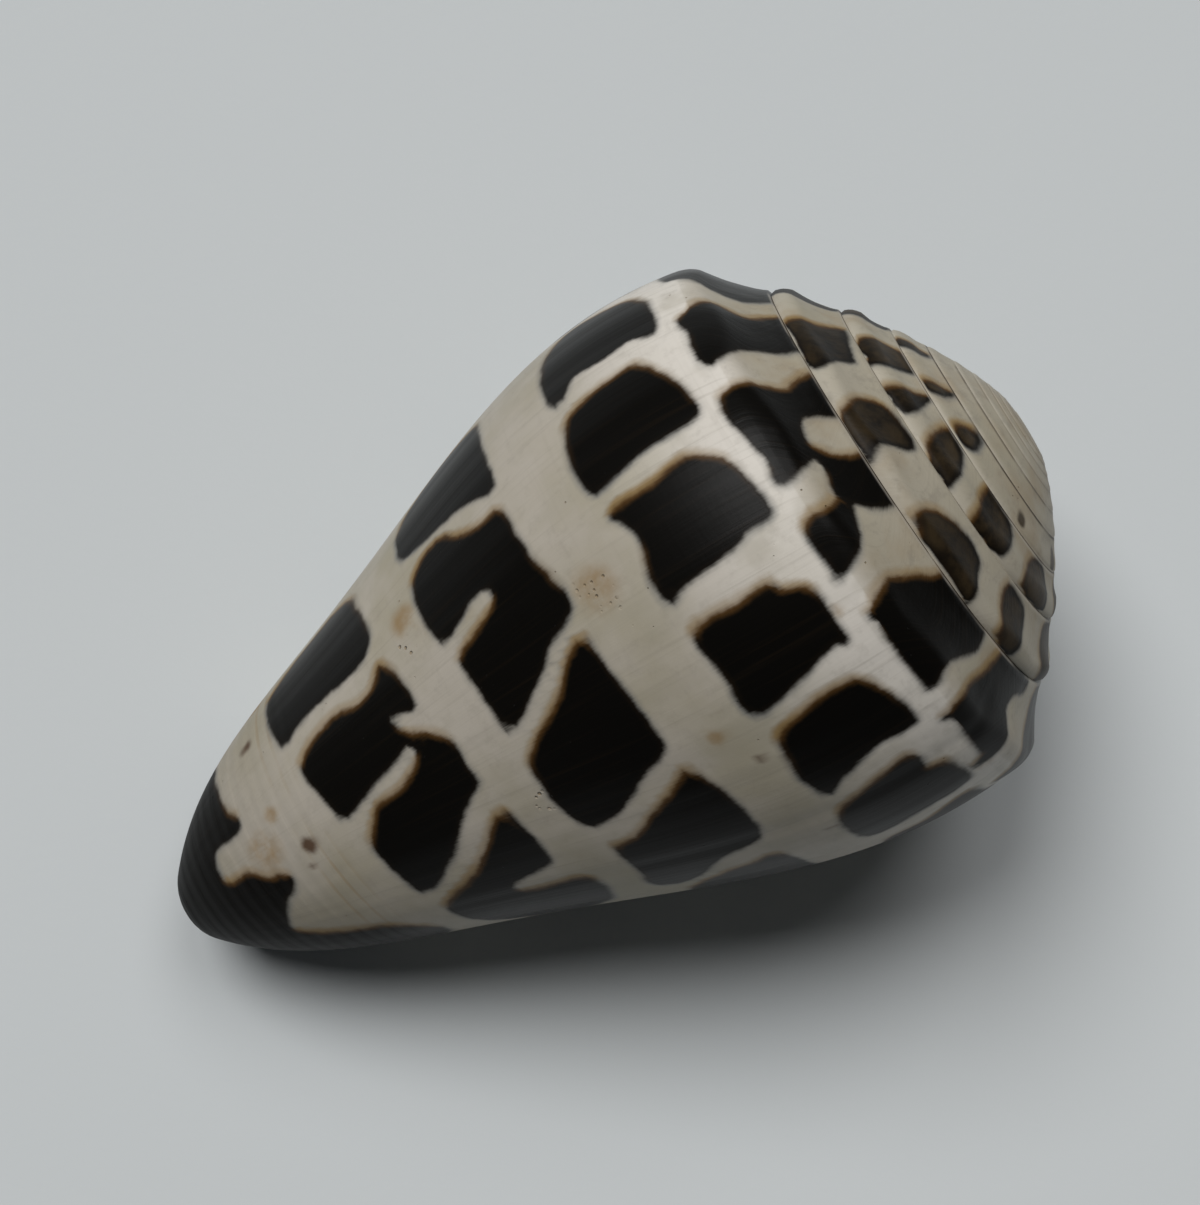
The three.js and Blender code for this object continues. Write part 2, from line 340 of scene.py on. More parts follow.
SHOULDER_BAND = [on_body(text) for text in (
    "65,.03 67,0 71,-.2 74,-.45 75,-.65 72,-.88 68,-1.2 50,-1.2 45,-.4 48,.02 56,.035",
    "84,.025 81,-.07 81,-.26 84,-.55 81.5,-.9 81.5,-1.2 92,-1.2 96.5,-.83 97,-.27 99,-.03"
    " 99.5,.027 90,.027",
    "109.5,.032 106.3,0 106.7,-.22 107.6,-.55 104.8,-.77 103,-1.2 115.5,-1.2 115,-.64"
    " 116.5,-.48 120.7,-.4 122.6,-.51 125.8,-.8 127,-1.2 139,-1.2 138.3,-.75 135,-.5"
    " 132.3,-.33 126.8,-.4 124.7,-.35 125.8,-.08 127,.018 121.7,.022 115.5,.03",
    "134.5,.02 134,-.07 133.3,-.38 136,-.44 141,-.29 144.7,0 145.5,.024 141,.026",
    "152.4,0 150.2,-.26 154.7,-.68 157.4,-.88 160,-1.2 174,-1.2 178.3,-.8 173.5,-.42"
    " 171.2,-.17 172.5,.003 169.8,.02 160.5,.021 155.8,.0165",
    "179,.004 179.3,-.3 184.2,-.7 190,-1.2 204,-1.2 206.5,-.85 199.5,-.68 196.6,-.5"
    " 197.2,-.34 199.5,.015 195.8,.0215 189,.0215 182,.017",
    "213,.01 212,-.4 216,-.9 228,-1.2 240,-1.2 245,-.5 240,.02 225,.02",
)]
UPPER_BAND = [on_body(text) for text in (
    "67,.08 64,.12 62,.16 66,.19 72,.205 80,.213 88,.208 89,.195 85,.175 84.5,.155 85,.12"
    " 84,.09 86,.062 80,.055 73,.058",
    "94,.198 92,.157 91,.107 92,.093 98,.07 103.5,.06 108.5,.06 109.5,.128 110.5,.178"
    " 111.5,.207 108,.213 102.5,.213",
    "116,.2 115.5,.142 114.5,.104 115,.088 118,.061 123,.05 128.4,.047 130.6,.051 131,.076"
    " 132.5,.105 133.5,.165 135,.195 129,.197 123,.186 119,.193",
    "141,.191 140.6,.134 140,.093 142.3,.085 144,.061 147.3,.053 155.5,.057 155,.072"
    " 156.7,.109 158.5,.149 159.4,.187 156,.193 148.8,.191",
    "165,.18 162.5,.136 162.2,.09 163,.074 169,.054 176,.05 177,.062 176.6,.1 179,.146"
    " 181.5,.171 182,.184 176,.194 168.6,.188",
    "189,.19 185.5,.147 183,.1 183,.085 185,.077 189,.077 191,.057 201,.051 203,.068"
    " 203.5,.118 205,.168 204.5,.188 200,.197",
)]
MIDDLE_BAND = [on_body(text) for text in (
    "67,.325 64,.36 63,.41 66,.45 73,.477 81,.48 86,.472 88,.44 89.5,.4 92,.35 94.5,.317"
    " 88,.313 80,.315 72,.316",
    "95,.467 92,.437 92.5,.405 96,.39 99.3,.35 99,.33 101.3,.317 107.4,.312 113.7,.309"
    " 119.5,.298 123.3,.293 126.8,.3 130,.342 133.3,.369 137,.4 139.7,.428 140.5,.446"
    " 133.7,.447 123.8,.452 120.7,.452 118.8,.434 117.7,.41 116,.381 113.7,.373 111.7,.384"
    " 112,.401 113.7,.431 115,.455 114,.464 106.6,.472 99,.472",
    "131.7,.304 133.7,.331 138.2,.359 142,.397 147.6,.44 154.3,.45 163.8,.447 169.3,.434"
    " 168.9,.412 166,.375 162,.344 157.7,.298 150.6,.293 141.9,.295 135.4,.298",
    "163.6,.29 165.6,.311 171.5,.366 176.3,.405 176.8,.427 181.3,.432 190,.433 198,.437"
    " 201.5,.42 198,.38 192.3,.347 189.3,.303 188.3,.284 182.4,.273 171.6,.275",
    "196.6,.285 198,.32 201,.366 206,.4 215,.42 230,.41 238,.36 236,.3 225,.28 206,.275",
)]
LOWER_BAND = [on_body(text) for text in (
    "75,.575 82,.565 90,.557 97,.554 101,.569 102,.608 100.6,.663 101.5,.702 104,.731"
    " 98,.742 91,.746 80,.748 73,.74 69,.7 68,.65 70,.6",
    "107,.559 111,.5825 111.2,.617 108.5,.642 109,.674 112.8,.712 117,.72 126.8,.714"
    " 133.5,.7075 138.6,.702 137.8,.681 134.8,.652 132.5,.604 130,.573 133.5,.566"
    " 137.4,.588 139.4,.622 140,.65 145,.672 150.6,.687 158.5,.687 173,.68 173.9,.662"
    " 167,.623 161,.591 156,.569 150.2,.538 147.6,.516 141.4,.515 135.2,.517 130.6,.535"
    " 127.2,.564 123.3,.572 121.2,.5675 123.4,.536 121.2,.534 114.1,.538 109.4,.547",
    "156.5,.513 161.8,.5475 167,.57 172,.595 176,.62 180,.647 185,.67 193,.67 200,.66"
    " 210,.64 216,.6 216,.55 208,.51 198,.49 189,.487 186,.505 187.5,.55 186,.575"
    " 182.5,.575 180,.55 178,.525 176.6,.511 170,.505 163,.505",
)]
FRONT_END = [on_body(
    "-20,.86 30,.88 65,.87 100,.858 114,.84 118.5,.848 118,.875 118,.898 128,.908"
    " 136.4,.902 136.8,.8825 137.8,.863 144.3,.841 144.3,.828 148,.814 153.6,.82 158.2,.84"
    " 165.7,.857 174.4,.866 180.4,.85 185,.808 187,.765 190.5,.745 200,.71 215,.72 236,.78"
    " 262,.85 300,.875 330,.86 390,.87 390,1.4 180,1.4 -20,1.4")]
SPIRE = [on_spire(whorl, text) for whorl, text in (
    (1, "62,1.5 61,.1 45,.1 42,1 45,1.8"),
    (1, "83,1.1 82,.6 79.5,.15 82.5,.1 95,.22 98,.26 99.5,.66 102,.98 96,1.6 90,1.5 85,1.6"),
    (1, "116,1.5 112.5,.8 112,.6 114,.23 122.3,.1 129,.15 127,.55 126,.86 129,1.4 125,1.75"),
    (1, "143.5,.93 145.5,.55 150,.35 157.5,.25 164.6,.33 166.3,.6 168.7,1.2 167,1.45"
        " 160,1.3 156,1.2 152.5,1.3 148,1.25"),
    (1, "178.5,.12 189,.15 192,.38 191,.85 190,1.35 187.5,1.6 184,1.35 180.5,.93 178,.5"),
    (1, "212,1.3 208,.6 211,.1 224,.1 227,.7 224,1.4"),
    (1, "246,1.4 242,.7 245,.1 258,.15 259,.8 256,1.5"),
    (1, "276,1.2 277,.4 285,.05 294,.3 295,1.1 287,1.6"),
    (1, "316,1.5 312,.6 316,.1 329,.1 330,.9 325,1.6"),
    (1, "350,1.3 347,.5 352,.05 364,.15 363,.9 358,1.5"),
    (2, "24,1.3 22,.5 26,.05 36,.2 35,.9 31,1.5"),
    (2, "62,1.3 64,.7 62,.1 48,.1 45,.8 48,1.6"),
    (2, "86.5,1.5 84,.81 83.5,.36 87,.03 98.5,0 99,.43 98.5,1 94.5,1.3"),
    (2, "107.5,1.6 109.3,.5 111.5,0 117,.62 118,.9 115,1.25 111,1.45"),
    (2, "127.2,.76 124.7,.08 130,0 137.5,.16 142,.75 143.5,1.45 139.5,1.6 133.5,1.5"),
    (2, "155,1.1 151.5,0 163,0 172,.25 171,.85 167.5,1.15 160.5,1.4"),
    (2, "184,.9 186,.3 190,.08 198,.05 204,.3 205,.9 202,1.4 195,1.5 188,1.3"),
    (2, "222,1.2 220,.4 226,.05 236,.2 237,.9 230,1.5"),
    (2, "254,1.3 253,.5 258,.1 268,.2 268,1 261,1.5"),
    (2, "288,1.2 286,.5 292,.1 300,.2 301,.9 295,1.4"),
    (2, "322,1.3 320,.5 326,.1 336,.2 335,1 329,1.5"),
    (2, "356,1.1 355,.5 360,.15 368,.3 368,.9 362,1.3"),
    (3, "36,1.1 35,.5 40,.15 48,.3 47,.9 42,1.3"),
    (3, "72,1.2 72,.5 75,.1 80,.1 80,.6 79,1.1"),
    (3, "102,.9 103,.5 106,.1 109,.1 110,.5 108,.9"),
    (3, "125,.72 126,.25 130,.08 135,.12 137,.55 134,.85 129,.9"),
)]
FAINT_SPIRE = [on_spire(whorl, text) for whorl, text in (
    (3, "171,.7 171,.3 176,.3 176,.7"),
    (3, "210,.9 209,.4 214,.15 219,.4 217,.9"),
    (3, "252,.9 251,.4 256,.15 261,.4 259,.9"),
)]
# Small brown marks and yellow-brown stains: degrees, level, radius in mm
BROWN_MARKS = [(156, .222, .28), (167.7, .211, .35), (193, .209, .3), (140, .762, .55),
               (87, .795, .5), (148, .772, .3)]
STAINS = [(133, .824, 1.1), (102, .5, .9), (125.7, .26, 1.2), (200, .03, .5), (150, .05, .4),
          (108, .475, .5), (122, .79, .5), (160, .24, .5), (113, .42, .5), (64, .78, .6),
          (240, .24, .8), (300, .5, 1.0), (30, .23, .8), (340, .75, .9)]
PITTED = [(125.7, .26, .75), (129.5, .255, .45), (109, .51, .4), (158, .46, .5), (310, .25, .7)]

# The side that faces down: one band's blotches follow the same rule as those that show
UNSEEN = (  # degrees from, to, pitch, level at the top and at the foot
    (-6, 44, 24, -1.2, .025), (250, 384, 31, -1.2, .025),
    (-14, 62, 24, .058, .2), (208, 390, 24, .056, .192),
    (-18, 60, 32, .31, .455), (242, 384, 31, .29, .44),
    (-16, 66, 33, .565, .71), (219, 388, 32, .535, .675))


def unseen_blotches(start, stop, pitch, top, foot):
    """A band's blotches between these degrees, each a skewed four-sided shape with bent sides."""
    made = []
    for middle in np.arange(start + pitch / 2, stop, pitch):
        half = pitch * rng.uniform(.33, .42)
        lean = pitch * rng.uniform(-.02, .14)
        tall = foot - top
        wobble = rng.uniform(-.5, .5, (10, 2)) * (pitch * .13, tall * .09)
        shape = np.array([
            (-half - lean, top + .08 * tall), (-half * .4, top), (half * .5, top - .02 * tall),
            (half * .95, top + .1 * tall), (half * .9, top + .45 * tall),
            (half + lean, foot - .12 * tall), (half * .6, foot), (-half * .3, foot - .03 * tall),
            (-half * .9 + lean, foot - .1 * tall), (-half * .95, top + .55 * tall)])
        made.append(shape + wobble + (middle, 0))
    return made


def curve_through(points, parts=4):
    """A closed smooth curve through the points, as short straight pieces."""
    before, after, beyond = (np.roll(points, n, 0) for n in (1, -1, -2))
    pieces = []
    for t in np.arange(parts) / parts:
        pieces.append(0.5 * (
            2 * points + (after - before) * t
            + (2 * before - 5 * points + 4 * after - beyond) * t**2
            + (3 * points - before - 3 * after + beyond) * t**3))
    return np.stack(pieces, 1).reshape(-1, 2)


def depth(degrees, level):
    """Millimetres from the shoulder, along the side or back up the ramp."""
    size = radius_at(degrees / 360) / SHOULDER_RADIUS
    return np.where(level < 0, level * RAMP_LENGTH * size, level * SIDE_LENGTH)


def distance_inside(outlines, degrees, level, radius):
    """How far inside the nearest outline each point is, in millimetres, negative outside."""
    found = np.full(degrees.shape, -FAR)
    down = depth(degrees, level)
    for outline in outlines:
        curve = curve_through(outline)
        curve_down = depth(curve[:, 0], curve[:, 1])
        spread = np.degrees(FAR / radius)
        near = (degrees > curve[:, 0].min() - spread) & (degrees < curve[:, 0].max() + spread)
        near &= (down > curve_down.min() - FAR) & (down < curve_down.max() + FAR)
        if not near.any():
            continue
        x = np.radians(curve[:, 0][None] - degrees[near][:, None]) * radius[near][:, None]
        y = curve_down[None] - down[near][:, None]
        next_x, next_y = np.roll(x, -1, 1), np.roll(y, -1, 1)
        run_x, run_y = next_x - x, next_y - y
        t = np.clip(-(x * run_x + y * run_y) / (run_x**2 + run_y**2 + 1e-12), 0, 1)
        distance = np.hypot(x + t * run_x, y + t * run_y).min(1)
        crosses = ((y > 0) != (next_y > 0)) & (x - y * run_x / (run_y + 1e-12 * (run_y == 0)) > 0)
        inside = crosses.sum(1) % 2 == 1
        found[near] = np.maximum(found[near], np.where(inside, distance, -distance))
    return found


def spots(places, degrees, level, radius):
    """1 at the middle of each spot, falling to 0 at its radius."""
    found = np.zeros(degrees.shape)
    down = depth(degrees, level)
    for at, at_level, size in places:
        x = np.radians(degrees - at) * radius
        y = down - depth(np.array(float(at)), np.array(at_level))
        found = np.maximum(found, 1 - np.hypot(x, y) / size)
    return np.clip(found, 0, 1)


def markings(grid):
    """The grid's attributes, each of three numbers, in millimetres where they are lengths.

    mark: distance inside black, how it grows towards older turns, distance inside a faint mark
    growth: distance back from the lip, distance down, inside
    flaws: brown, stain, pitted
    spire: distance from a suture, size, turn
    """
    degrees, level = 360 * grid.turn, grid.level
    axis_distance = np.hypot(grid.points[..., 0], grid.points[..., 1])
    radius = np.maximum(axis_distance, SMALLEST_RADIUS)
    flat = [a.ravel() for a in (degrees, level, radius)]
    black = SHOULDER_BAND + UPPER_BAND + MIDDLE_BAND + LOWER_BAND + FRONT_END + SPIRE + BLOTCHES
    mark = distance_inside(black, *flat).reshape(degrees.shape)
    faint = distance_inside(FAINT_SPIRE, *flat).reshape(degrees.shape)
    lead = np.full(mark.shape, 0.5)
    if not grid.inside.any():
        along = np.radians(np.gradient(degrees, axis=0)) * radius
        lead = np.clip(np.gradient(mark, axis=0) / along, -1, 1)
    size = radius_at(grid.turn) / SHOULDER_RADIUS
    below_suture = (level + 1) * RAMP_LENGTH * size
    above_suture = (suture_down(grid.turn) - level) * SIDE_LENGTH
    on_spire_side = (grid.turn >= 1) & (level < suture_down(grid.turn) + 1e-6)
    suture = np.where(on_spire_side, np.minimum(below_suture, above_suture), below_suture)
    growth_x = (grid.turn - LIP_NOTCH * np.sin(np.pi * portion(-level, 0, 1))) * TURN_LENGTH
    flaws = [spots(places, degrees, level, radius) for places in (BROWN_MARKS, STAINS, PITTED)]
    return {
        "mark": np.stack([mark, lead, faint], -1),
        "growth": np.stack([growth_x, depth(degrees, level), grid.inside], -1),
        "flaws": np.stack(flaws, -1),
        "spire": np.stack([suture, size, grid.turn], -1),
    }


BLOTCHES = [shape for row in UNSEEN for shape in unseen_blotches(*row)]


# ---- The closed mesh

# The caps' attributes: all black at the front end, all pale at the apex
FRONT_END_VALUES = {"mark": (FAR, 0, -FAR), "growth": (0, SIDE_LENGTH, 0),
                    "flaws": (0, 0, 0), "spire": (1, 1, 0)}
APEX_VALUES = {"mark": (-FAR, 0, -FAR), "growth": (500, -4, 0),
               "flaws": (0, 0, 0), "spire": (1, 0.2, 6.5)}
MERGE_WITHIN = 1e-4  # millimetres


def strip(first, second, steps):
    """A grid between two lines of points, with steps pieces across."""
    across = np.arange(steps + 1) / steps
    return lerp(first[:, None], second[:, None], across[None, :, None])


def shell_patches():
    """The grids that make up the surface: body, spire, inner, lip, lip_edge and front."""
    lip_turns = np.arange(0, round(APERTURE_END * STEPS) + 1) / STEPS
    body = outside(np.arange(0, STEPS + 1) / STEPS)
    spire = outside(np.arange(STEPS, SPIRE_TURNS * STEPS + 1) / STEPS).rows(0, SUTURE_ROW)
    inner = outside(lip_turns + 1).rows(APERTURE_ROW, LAST_ROW)
    inner = Grid(inner.points, inner.turn, inner.level, smooth(inner.turn, 1, 1 + INSIDE_TURNS))
    lip = lining(lip_turns, inner)

    # The lip's rounded edge: from the outside at turn 0 over to the lining.
    across = np.arange(EDGE_ROWS + 1) / EDGE_ROWS
    edge = strip(body.points[0], lip.points[0], EDGE_ROWS)
    wall = np.linalg.norm(lip.points[0] - body.points[0], axis=1)
    bulge = np.sin(np.pi * across)[None] * np.minimum(wall, LIP_ROUND_MOST)[:, None] * LIP_ROUND
    bulge = bulge * smooth(np.arange(LAST_ROW + 1), 0, LIP_ROUND_ROWS)[:, None]
    edge[..., 1] -= bulge
    edge[0] = body.points[-1, SUTURE_ROW:APERTURE_ROW + 1]
    lip_edge = between(edge, body.turn[0], body.level[0], across)

    # The wall's end at the front, from turn 0 to where the aperture ends.
    deep = len(lip_turns)
    end = strip(body.points[:deep, -1], lip.points[:, -1], EDGE_ROWS)
    end[0] = edge[-1]
    front = between(end, body.turn[:deep, -1], body.level[:deep, -1], FRONT_INSIDE * across)
    return body, spire, inner, lip, lip_edge, front


def between(points, turn, level, inside):
    """A strip's Grid, its turn and level the same all the way across."""
    turn, level = (np.repeat(v[:, None], EDGE_ROWS + 1, 1) for v in (turn, level))
    return Grid(points, turn, level, inside)


def grid_faces(numbers):
    """Four-sided faces of a grid of point numbers."""
    corners = numbers[1:, :-1], numbers[1:, 1:], numbers[:-1, 1:], numbers[:-1, :-1]
    return np.stack(corners, -1).reshape(-1, 4).tolist()


def zip_lines(first, second):
    """Triangles between two lines of point numbers that start and end side by side."""
    made, i, j = [], 0, 0
    while i < len(first) - 1 or j < len(second) - 1:
        ahead = (i + 1) / len(first) <= (j + 1) / len(second)
        if j == len(second) - 1 or (ahead and i < len(first) - 1):
            made.append((first[i], first[i + 1], second[j]))
            i += 1
        else:
            made.append((first[i], second[j + 1], second[j]))
            j += 1
    return made


def cap(edge, centre):
    """Rings from a closed edge to its centre, domed in height, the first point repeated last."""
    inwards = np.arange(CAP_RINGS + 1)[:, None, None] / CAP_RINGS
    rings = edge[None] + (centre - edge)[None] * inwards
    rings[..., 2] = lerp(edge[None, :, 2], centre[2], np.sin(np.pi / 2 * inwards[..., 0]))
    return np.concatenate([rings, rings[:, :1]], 1)


def closed_surface():
    """Points, faces and each point's attributes. Patches still have their shared points twice."""
    patches = shell_patches()
    lining_patch = patches[3]
    numbers, faces, points, values = [], [], [], []

    def add(patch_points, patch_values, from_last_row):
        """Adds a patch. Its faces look the other way if its rows are taken from the last."""
        first = sum(len(p) for p in points)
        rows, columns = patch_points.shape[:2]
        index = first + np.arange(rows * columns).reshape(rows, columns)
        numbers.append(index)
        faces.extend(grid_faces(index[::-1] if from_last_row else index))
        points.append(patch_points.reshape(-1, 3))
        values.append(patch_values)

    for grid in patches:
        attributes = {name: v.reshape(-1, 3) for name, v in markings(grid).items()}
        add(grid.points, attributes, grid is lining_patch)

    # The aperture's deep end, the columella's end and the apex close the surface.
    body, spire, inner, lip, _, front = numbers
    faces += zip_lines(inner[-1].tolist(), lip[-1].tolist())
    deep = round(APERTURE_END * STEPS)
    rim = np.concatenate([body[deep:, -1], inner[1:, -1], front[-1, :0:-1]])
    top = np.concatenate([spire[-STEPS - 1:, 0], spire[-1, 1:SUTURE_ROW]])
    body_points = patches[0].points
    front_centre = place(np.array(0.0), np.array(0.0), body_points[deep:, -1, 2].min(), 1.0)
    apex = np.array([0, 0, SPIRE_HEIGHT - APEX_WEAR])
    edges = [np.concatenate(points)[loop] for loop in (rim, top)]
    for edge, centre, like in zip(edges, (front_centre, apex), (FRONT_END_VALUES, APEX_VALUES)):
        rings = cap(edge, centre)
        count = rings[..., 0].size
        add(rings, {name: np.tile(v, (count, 1)) for name, v in like.items()}, True)

    values = {name: np.concatenate([v[name] for v in values]) for name in FRONT_END_VALUES}
    return np.concatenate(points), faces, values


def shell_mesh():
    """The shell as a Blender mesh, closed, with its markings as attributes of face corners."""
    points, faces, values = closed_surface()

    # Points that patches share become one vertex.
    _, kept, merged = np.unique(np.round(points / MERGE_WITHIN).astype(int), axis=0,
                                return_index=True, return_inverse=True)
    merged = merged.ravel()
    closed, corners = [], []
    for face in faces:
        face = [n for i, n in enumerate(face) if merged[n] != merged[face[i - 1]]]
        if len(face) > 2:
            closed.append([merged[n] for n in face])
            corners += face
    mesh = bpy.data.meshes.new("cone_shell_surface")
    mesh.from_pydata(in_place(points[kept]).tolist(), [], closed)
    for name, per_point in values.items():
        attribute = mesh.attributes.new(name, "FLOAT_VECTOR", "CORNER")
        attribute.data.foreach_set("vector", per_point[corners].astype(np.float32).ravel())

    # The faces that still look the wrong way are turned.
    surface = bmesh.new()
    surface.from_mesh(mesh)
    bmesh.ops.recalc_face_normals(surface, faces=surface.faces)
    surface.to_mesh(mesh)
    surface.free()
    return mesh


def in_place(points):
    """Turned about the shell's axis, laid down, and put where the CAD shell is, in metres."""
    turned = Matrix.Rotation(math.radians(90 - APEX_RAISED), 3, "Y")
    turned = turned @ Matrix.Rotation(math.radians(ROLL), 3, "Z")
    points = points @ np.array(turned).T * MM
    cad_low, cad_high = np.array(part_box("cone_shell"))
    points = points * min(1, ((cad_high - cad_low) / np.ptp(points, axis=0)).min())
    low, high = points.min(0), points.max(0)
    shift = (cad_low + cad_high - low - high) / 2
    shift[2] = cad_low[2] - low[2]
    return points + shift


# ---- Materials

class Nodes:
    """Short names for the nodes that the materials here are built from."""

    def __init__(self, name):
        self.material = bpy.data.materials.new(name)
        self.material.use_nodes = True
        self.tree = self.material.node_tree
        self.shader = self.tree.nodes["Principled BSDF"]

    def link(self, source, target):
        if isinstance(source, bpy.types.NodeSocket):
            self.tree.links.new(source, target)
        else:
            target.default_value = source

    def attribute(self, name):
        """The three numbers of a mesh attribute, and the whole vector."""
        node = self.tree.nodes.new("ShaderNodeAttribute")
        node.attribute_name = name
        parts = self.tree.nodes.new("ShaderNodeSeparateXYZ")
        self.link(node.outputs["Vector"], parts.inputs[0])
        return *parts.outputs, node.outputs["Vector"]

    def math(self, kind, *values):
        node = self.tree.nodes.new("ShaderNodeMath")
        node.operation = kind
        for value, target in zip(values, node.inputs):
            self.link(value, target)
        return node.outputs[0]

    def total(self, *values):
        result = values[0]
        for value in values[1:]:
            result = self.math("ADD", result, value)
        return result

    def times(self, *values):
        result = values[0]
        for value in values[1:]:
            result = self.math("MULTIPLY", result, value)
        return result

    def ramp(self, value, start, stop):
        """0 before start, 1 after stop, smooth between; start may be the larger."""
        node = self.tree.nodes.new("ShaderNodeMapRange")
        node.interpolation_type = "SMOOTHSTEP"
        low, high = sorted((start, stop))
        self.link(value, node.inputs["Value"])
        node.inputs["From Min"].default_value = low
        node.inputs["From Max"].default_value = high
        node.inputs["To Min"].default_value = float(start > stop)
        node.inputs["To Max"].default_value = float(start <= stop)
        return node.outputs["Result"]

    def blend(self, share, first, second):
        """A colour between two."""
        node = self.tree.nodes.new("ShaderNodeMix")
        node.data_type = "RGBA"
        self.link(share, node.inputs["Factor"])
        for colour, name in ((first, "A"), (second, "B")):
            target = [i for i in node.inputs if i.name == name and i.type == "RGBA"][0]
            self.link((*colour, 1) if isinstance(colour, tuple) else colour, target)
        return [o for o in node.outputs if o.type == "RGBA"][0]

    def noise(self, vector, stretch, detail=3.0, roughness=0.55, offset=(0, 0, 0)):
        """Noise from 0 to 1, with features about 1 / stretch long in each direction."""
        mapping = self.tree.nodes.new("ShaderNodeMapping")
        self.link(vector, mapping.inputs["Vector"])
        mapping.inputs["Scale"].default_value = stretch
        mapping.inputs["Location"].default_value = offset
        node = self.tree.nodes.new("ShaderNodeTexNoise")
        self.link(mapping.outputs[0], node.inputs["Vector"])
        node.inputs["Scale"].default_value = 1.0
        node.inputs["Detail"].default_value = detail
        node.inputs["Roughness"].default_value = roughness
        return node.outputs[0]

    def holes(self, vector, scale, size):
        """1 inside small round pits, 0 elsewhere."""
        node = self.tree.nodes.new("ShaderNodeTexVoronoi")
        self.link(vector, node.inputs["Vector"])
        node.inputs["Scale"].default_value = scale
        return self.ramp(node.outputs["Distance"], size, size * 0.5)

    def bump(self, height, distance):
        node = self.tree.nodes.new("ShaderNodeBump")
        node.inputs["Strength"].default_value = 1.0
        node.inputs["Distance"].default_value = distance
        self.link(height, node.inputs["Height"])
        self.link(node.outputs["Normal"], self.shader.inputs["Normal"])


# The shell's colours
WHITE = (0.46, 0.42, 0.36)
# painted highlight: the brighter white of the ground below the shoulder
PAINTED_HIGHLIGHT = (0.80, 0.76, 0.70)
CREAM = (0.37, 0.335, 0.255)
WORN = (0.37, 0.34, 0.27)
# grey for the growth lines and speckle, also used as painted shade towards the front end
GREY_LINE_AND_SHADE = (0.25, 0.225, 0.185)
OCHRE = (0.25, 0.16, 0.058)
RUST = (0.09, 0.045, 0.014)
BROWN_SPOT = (0.07, 0.032, 0.014)
BLUE_GREY = (0.20, 0.20, 0.19)
BLACK = (0.0040, 0.0036, 0.0030)
BROWN_BLACK = (0.0082, 0.0060, 0.0040)
STAIN = (0.28, 0.185, 0.085)
WORN_BROWN = (0.046, 0.031, 0.015)
# painted shade along the sutures' crease
SUTURE_SHADE = (0.045, 0.032, 0.02)
PORCELAIN = (0.60, 0.585, 0.59)
SHADE_THROUGH = (0.20, 0.20, 0.23)  # black markings seen through the wall

CARD, CARD_LIGHT = (0.62, 0.655, 0.67), (0.65, 0.68, 0.69)
SHELL_BUMP, CARD_BUMP = 0.02 * MM, 0.004 * MM


